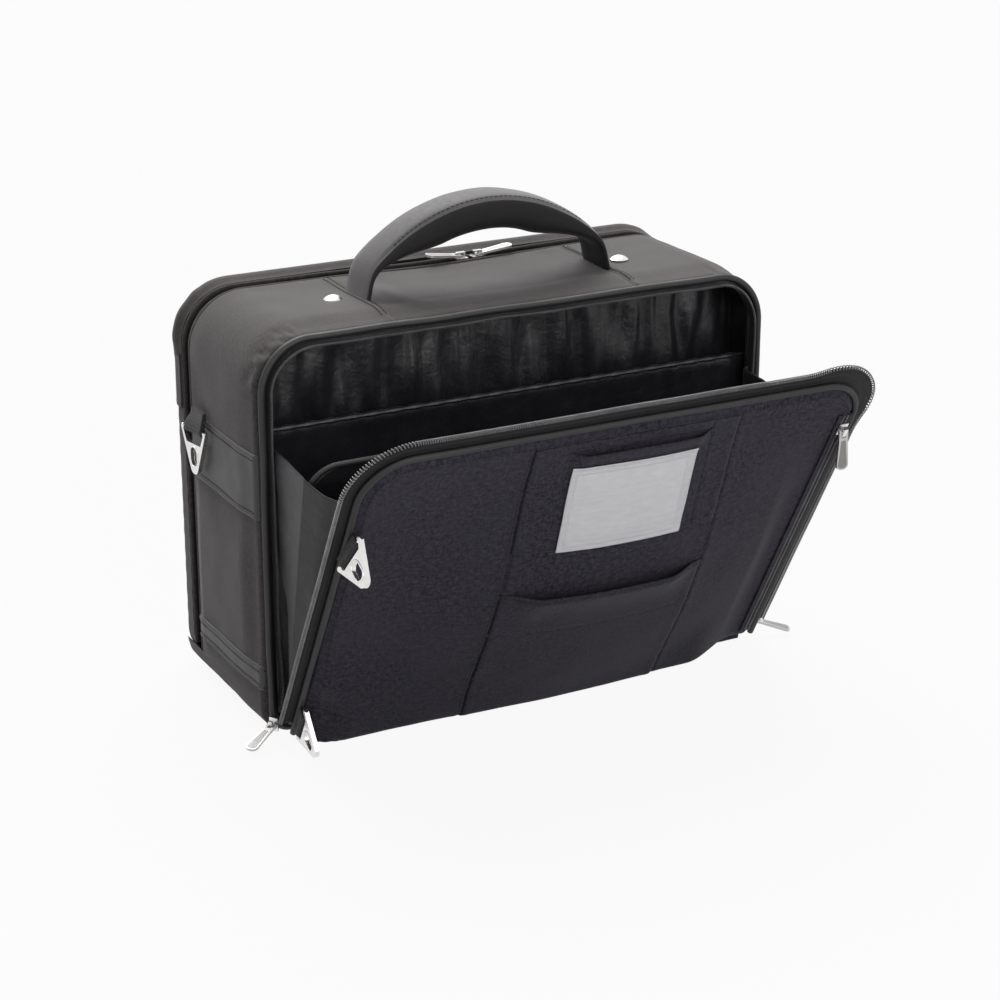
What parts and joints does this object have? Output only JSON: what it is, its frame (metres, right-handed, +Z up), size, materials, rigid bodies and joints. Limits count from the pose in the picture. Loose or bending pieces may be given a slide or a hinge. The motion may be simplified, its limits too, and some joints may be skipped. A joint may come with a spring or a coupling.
{
  "type": "flight bag",
  "caption": "Soft-sided black crew and document case with a zipped rear lid, a drop-open front flap with pockets and a card window, a padded arched handle and metal strap rings.",
  "frame": {"origin": "on the underside of the base, below the middle of the body between its front rim and its rear lid", "axes": "+Z up, +X to the right as seen from the flap side, the flap faces -Y"},
  "size_m": [0.4562, 0.3138, 0.3595],
  "materials": {
    "side_cloth": "matte woven polyester",
    "flap_cloth": "matte woven polyester",
    "lining_cloth": "soft sheen nylon",
    "edging": "satin",
    "zip_tape": "woven tape with coil",
    "handle_cover": "soft satin",
    "webbing": "woven",
    "nickel": "polished nickel",
    "window_film": "clear film",
    "card": "plain card"
  },
  "bodies": {
    "body": {"body_shell": "side_cloth", "rear_sill": "side_cloth", "base_board": "lining_cloth", "partition_wall": "lining_cloth", "document_divider": "lining_cloth", "front_rim_piping": "edging", "front_rim_zip": "zip_tape", "rear_rim_piping": "edging", "rear_rim_zip": "zip_tape", "left_side_band": "handle_cover", "right_side_band": "handle_cover", "left_trim_strip": "handle_cover", "right_trim_strip": "handle_cover", "left_ring_loop": "webbing", "right_ring_loop": "webbing", "handle_roots": "handle_cover", "handle_rivets": "nickel", "handle_plates": "lining_cloth", "flap_hinge_strip": "flap_cloth", "left_rear_gusset": "lining_cloth", "right_rear_gusset": "lining_cloth", "left_front_gusset": "lining_cloth", "right_front_gusset": "lining_cloth", "left_flap_slider": "nickel", "right_flap_slider": "nickel"},
    "flap": {"flap_panel": "flap_cloth", "flap_piping": "edging", "flap_zip": "zip_tape", "upper_pocket": "flap_cloth", "lower_pocket": "flap_cloth", "card_window": "window_film", "id_card": "card", "pocket_zip": "zip_tape", "upper_flap_loop": "webbing", "lower_flap_loop": "webbing"},
    "divider": {"laptop_divider": "lining_cloth", "divider_binding": "edging"},
    "lid": {"lid_panel": "side_cloth", "lid_piping": "edging", "lid_zip": "zip_tape", "trolley_strap": "side_cloth"},
    "handle": {"handle_grip": "handle_cover"},
    "left_ring": {"left_strap_ring": "nickel"},
    "right_ring": {"right_strap_ring": "nickel"},
    "upper_ring": {"upper_flap_ring": "nickel"},
    "lower_ring": {"lower_flap_ring": "nickel"},
    "left_runner": {"left_main_slider": "nickel"},
    "right_runner": {"right_main_slider": "nickel"},
    "left_puller": {"left_main_pull": "nickel"},
    "right_puller": {"right_main_pull": "nickel"},
    "pocket_runner": {"pocket_slider": "nickel"},
    "pocket_puller": {"pocket_pull": "nickel"},
    "left_flap_puller": {"left_flap_pull": "nickel"},
    "right_flap_puller": {"right_flap_pull": "nickel"}
  },
  "joints": [
    {"name": "flap_hinge", "type": "hinge", "parent": "body", "child": "flap", "pos_m": [0, -0.08559, 0.0049], "axis": [1, 0, 0], "range_deg": [-29, 0], "deforming": ["left_front_gusset", "right_front_gusset"]},
    {"name": "divider_hinge", "type": "hinge", "parent": "body", "child": "divider", "pos_m": [0, -0.08299, 0.006], "axis": [1, 0, 0], "range_deg": [-11.9, 0], "deforming": ["left_rear_gusset", "right_rear_gusset"]},
    {"name": "lid_hinge", "type": "hinge", "parent": "body", "child": "lid", "pos_m": [0, 0.078, 0.008], "axis": [-1, 0, 0], "range_deg": [0, 90]},
    {"name": "handle_rock", "type": "hinge", "parent": "body", "child": "handle", "pos_m": [0, -0.012, 0.3045], "axis": [1, 0, 0], "range_deg": [-18, 18], "stiffness_Nm_per_rad": 0.5},
    {"name": "left_ring_swing", "type": "hinge", "parent": "body", "child": "left_ring", "pos_m": [-0.21278, 0.02, 0.203], "axis": [-0.1736, 0.9848, 0], "range_deg": [0, 110]},
    {"name": "right_ring_swing", "type": "hinge", "parent": "body", "child": "right_ring", "pos_m": [0.21278, 0.02, 0.203], "axis": [-0.1736, -0.9848, 0], "range_deg": [0, 110]},
    {"name": "upper_ring_swing", "type": "hinge", "parent": "flap", "child": "upper_ring", "pos_m": [-0.1921, -0.19835, 0.18047], "axis": [0.2924, -0.4636, 0.8364], "range_deg": [-60, 60]},
    {"name": "lower_ring_swing", "type": "hinge", "parent": "flap", "child": "lower_ring", "pos_m": [-0.1921, -0.11049, 0.02197], "axis": [0, -0.4848, 0.8746], "range_deg": [-60, 60]},
    {"name": "left_main_slide", "type": "slide", "parent": "body", "child": "left_runner", "axis": [1, 0, 0], "range_m": [-0.16, 0]},
    {"name": "left_main_pull_lift", "type": "hinge", "parent": "left_runner", "child": "left_puller", "pos_m": [0.017, 0.0525, 0.295], "axis": [0, 1, 0], "range_deg": [0, 74]},
    {"name": "right_main_slide", "type": "slide", "parent": "body", "child": "right_runner", "axis": [1, 0, 0], "range_m": [0, 0.1]},
    {"name": "right_main_pull_lift", "type": "hinge", "parent": "right_runner", "child": "right_puller", "pos_m": [0.031, 0.0525, 0.295], "axis": [0, -1, 0], "range_deg": [0, 74]},
    {"name": "pocket_slide", "type": "slide", "parent": "flap", "child": "pocket_runner", "axis": [0, -0.4848, 0.8746], "range_m": [-0.2, 0]},
    {"name": "pocket_pull_swing", "type": "hinge", "parent": "pocket_runner", "child": "pocket_puller", "pos_m": [0.1825, -0.21396, 0.20987], "axis": [-1, 0, 0], "range_deg": [-28, 100]},
    {"name": "left_flap_pull_lift", "type": "hinge", "parent": "body", "child": "left_flap_puller", "pos_m": [-0.203, -0.08199, 0.012], "axis": [-0.524, 0.8517, 0], "range_deg": [0, 75]},
    {"name": "right_flap_pull_lift", "type": "hinge", "parent": "body", "child": "right_flap_puller", "pos_m": [0.203, -0.08199, 0.012], "axis": [-0.524, -0.8517, 0], "range_deg": [0, 75]}
  ],
  "couplings": [
    {"joint": "divider_hinge", "follows": "flap_hinge", "ratio": 0.41034}
  ]
}
